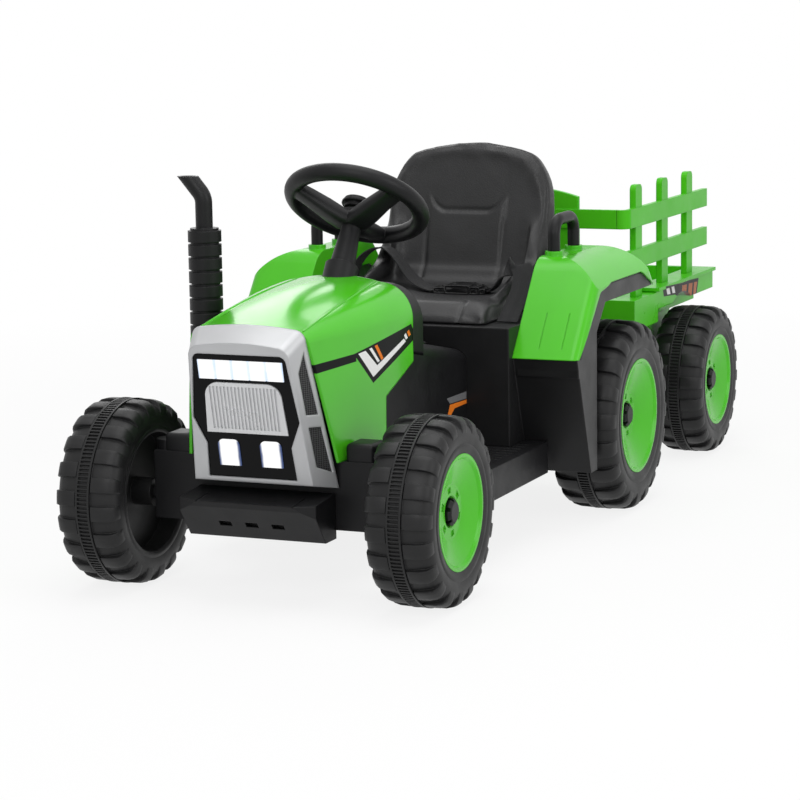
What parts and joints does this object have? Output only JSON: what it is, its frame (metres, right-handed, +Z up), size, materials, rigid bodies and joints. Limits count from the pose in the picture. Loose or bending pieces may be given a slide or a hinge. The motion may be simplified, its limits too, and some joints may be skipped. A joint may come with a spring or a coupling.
{
  "type": "ride on tractor toy",
  "caption": "Child-size electric ride-on tractor with steering, treaded wheels, belted seat and grab handles, pulling a fenced cargo trailer on a hitch pin.",
  "frame": {"origin": "ground level under the middle of the whole train's bounding box", "axes": "+X forward along the train, +Y to the driver's left, +Z up"},
  "size_m": [1.34, 0.516, 0.4996],
  "materials": {
    "tyre_plastic": "matte",
    "green_plastic": "gloss",
    "black_plastic": "satin",
    "silver_plastic": "satin silver",
    "panel_plastic": "gloss",
    "bright_plastic": "bright silver",
    "lamp_lens": "clear white",
    "seat_leather": "soft grain",
    "webbing": "woven",
    "steel": "zinc plated"
  },
  "bodies": {
    "tractor": {"chassis": "black_plastic", "front_axle_beam": "black_plastic", "front_bumper": "black_plastic", "hood": "green_plastic", "grille_surround": "silver_plastic", "grille_panel": "panel_plastic", "radiator_grille": "bright_plastic", "front_lights": "lamp_lens", "side_vents": "black_plastic", "exhaust_stack": "black_plastic", "dashboard": "black_plastic", "steering_column": "black_plastic", "seat": "seat_leather", "rear_body": "black_plastic", "left_fender": "green_plastic", "right_fender": "green_plastic", "left_grab_handle": "black_plastic", "right_grab_handle": "black_plastic", "seat_belt": "webbing", "belt_buckle": "black_plastic", "battery": "black_plastic", "control_box": "black_plastic", "drive_gearboxes": "black_plastic", "rear_axle": "steel", "tow_hitch": "black_plastic"},
    "steering": {"steering_wheel": "black_plastic", "steering_shaft": "steel"},
    "horn": {"horn_button": "black_plastic"},
    "tie_rod": {"tie_rod": "steel"},
    "left_knuckle": {"left_knuckle": "steel"},
    "right_knuckle": {"right_knuckle": "steel"},
    "pedal": {"foot_pedal": "black_plastic"},
    "direction": {"direction_switch": "black_plastic"},
    "power": {"power_button": "black_plastic"},
    "trailer": {"trailer_bed": "green_plastic", "trailer_left_fence": "green_plastic", "trailer_right_fence": "green_plastic", "trailer_front_fence": "green_plastic", "trailer_drawbar": "black_plastic", "trailer_axle": "steel"},
    "hitch_pin": {"hitch_pin": "black_plastic"},
    "front_left_wheel": {"front_left_tyre": "tyre_plastic", "front_left_rim": "green_plastic", "front_left_hub_cap": "black_plastic"},
    "front_right_wheel": {"front_right_tyre": "tyre_plastic", "front_right_rim": "green_plastic", "front_right_hub_cap": "black_plastic"},
    "rear_left_wheel": {"rear_left_tyre": "tyre_plastic", "rear_left_rim": "green_plastic", "rear_left_hub_cap": "black_plastic"},
    "rear_right_wheel": {"rear_right_tyre": "tyre_plastic", "rear_right_rim": "green_plastic", "rear_right_hub_cap": "black_plastic"},
    "trailer_left_wheel": {"trailer_left_tyre": "tyre_plastic", "trailer_left_rim": "green_plastic", "trailer_left_hub_cap": "black_plastic"},
    "trailer_right_wheel": {"trailer_right_tyre": "tyre_plastic", "trailer_right_rim": "green_plastic", "trailer_right_hub_cap": "black_plastic"}
  },
  "joints": [
    {"name": "steering_turn", "type": "hinge", "parent": "tractor", "child": "steering", "pos_m": [0.3045, 0, 0.442], "axis": [-0.5548, 0, 0.832], "range_deg": [-36, 36]},
    {"name": "horn_press", "type": "slide", "parent": "steering", "child": "horn", "axis": [0.5548, 0, -0.832], "range_m": [0, 0.003], "stiffness_N_per_m": 600},
    {"name": "tie_rod_slide", "type": "slide", "parent": "tractor", "child": "tie_rod", "axis": [0, 1, 0], "range_m": [-0.02, 0.02]},
    {"name": "left_knuckle_turn", "type": "hinge", "parent": "tractor", "child": "left_knuckle", "pos_m": [0.5575, 0.138, 0.1125], "axis": [0, 0, 1], "range_deg": [-23, 23]},
    {"name": "right_knuckle_turn", "type": "hinge", "parent": "tractor", "child": "right_knuckle", "pos_m": [0.5575, -0.138, 0.1125], "axis": [0, 0, 1], "range_deg": [-23, 23]},
    {"name": "pedal_press", "type": "hinge", "parent": "tractor", "child": "pedal", "pos_m": [0.326, -0.137, 0.13], "axis": [0, 1, 0], "range_deg": [0, 12], "stiffness_Nm_per_rad": 1.5, "springref_deg": -8.59},
    {"name": "direction_rock", "type": "hinge", "parent": "tractor", "child": "direction", "pos_m": [0.336, -0.055, 0.318], "axis": [0, 1, 0], "range_deg": [-12, 12]},
    {"name": "power_press", "type": "slide", "parent": "tractor", "child": "power", "axis": [1, 0, 0], "range_m": [0, 0.0025], "stiffness_N_per_m": 500},
    {"name": "trailer_yaw", "type": "hinge", "parent": "tractor", "child": "trailer", "pos_m": [-0.2205, 0, 0.15], "axis": [0, 0, 1], "range_deg": [-25, 25]},
    {"name": "hitch_pin_lift", "type": "slide", "parent": "tractor", "child": "hitch_pin", "axis": [0, 0, 1], "range_m": [0, 0.045]},
    {"name": "front_left_spin", "type": "hinge", "parent": "left_knuckle", "child": "front_left_wheel", "pos_m": [0.5575, 0.199, 0.1125], "axis": [0, 1, 0], "continuous": true},
    {"name": "front_right_spin", "type": "hinge", "parent": "right_knuckle", "child": "front_right_wheel", "pos_m": [0.5575, -0.199, 0.1125], "axis": [0, 1, 0], "continuous": true},
    {"name": "rear_left_spin", "type": "hinge", "parent": "tractor", "child": "rear_left_wheel", "pos_m": [-0.0525, 0.2115, 0.129], "axis": [0, 1, 0], "continuous": true},
    {"name": "rear_right_spin", "type": "hinge", "parent": "tractor", "child": "rear_right_wheel", "pos_m": [-0.0525, -0.2115, 0.129], "axis": [0, 1, 0], "continuous": true},
    {"name": "trailer_left_spin", "type": "hinge", "parent": "trailer", "child": "trailer_left_wheel", "pos_m": [-0.505, 0.1965, 0.111], "axis": [0, 1, 0], "continuous": true},
    {"name": "trailer_right_spin", "type": "hinge", "parent": "trailer", "child": "trailer_right_wheel", "pos_m": [-0.505, -0.1965, 0.111], "axis": [0, 1, 0], "continuous": true}
  ],
  "couplings": [
    {"joint": "left_knuckle_turn", "follows": "steering_turn", "ratio": 0.61111},
    {"joint": "right_knuckle_turn", "follows": "steering_turn", "ratio": 0.61111},
    {"joint": "tie_rod_slide", "follows": "steering_turn", "m_per_rad": -0.02866}
  ]
}
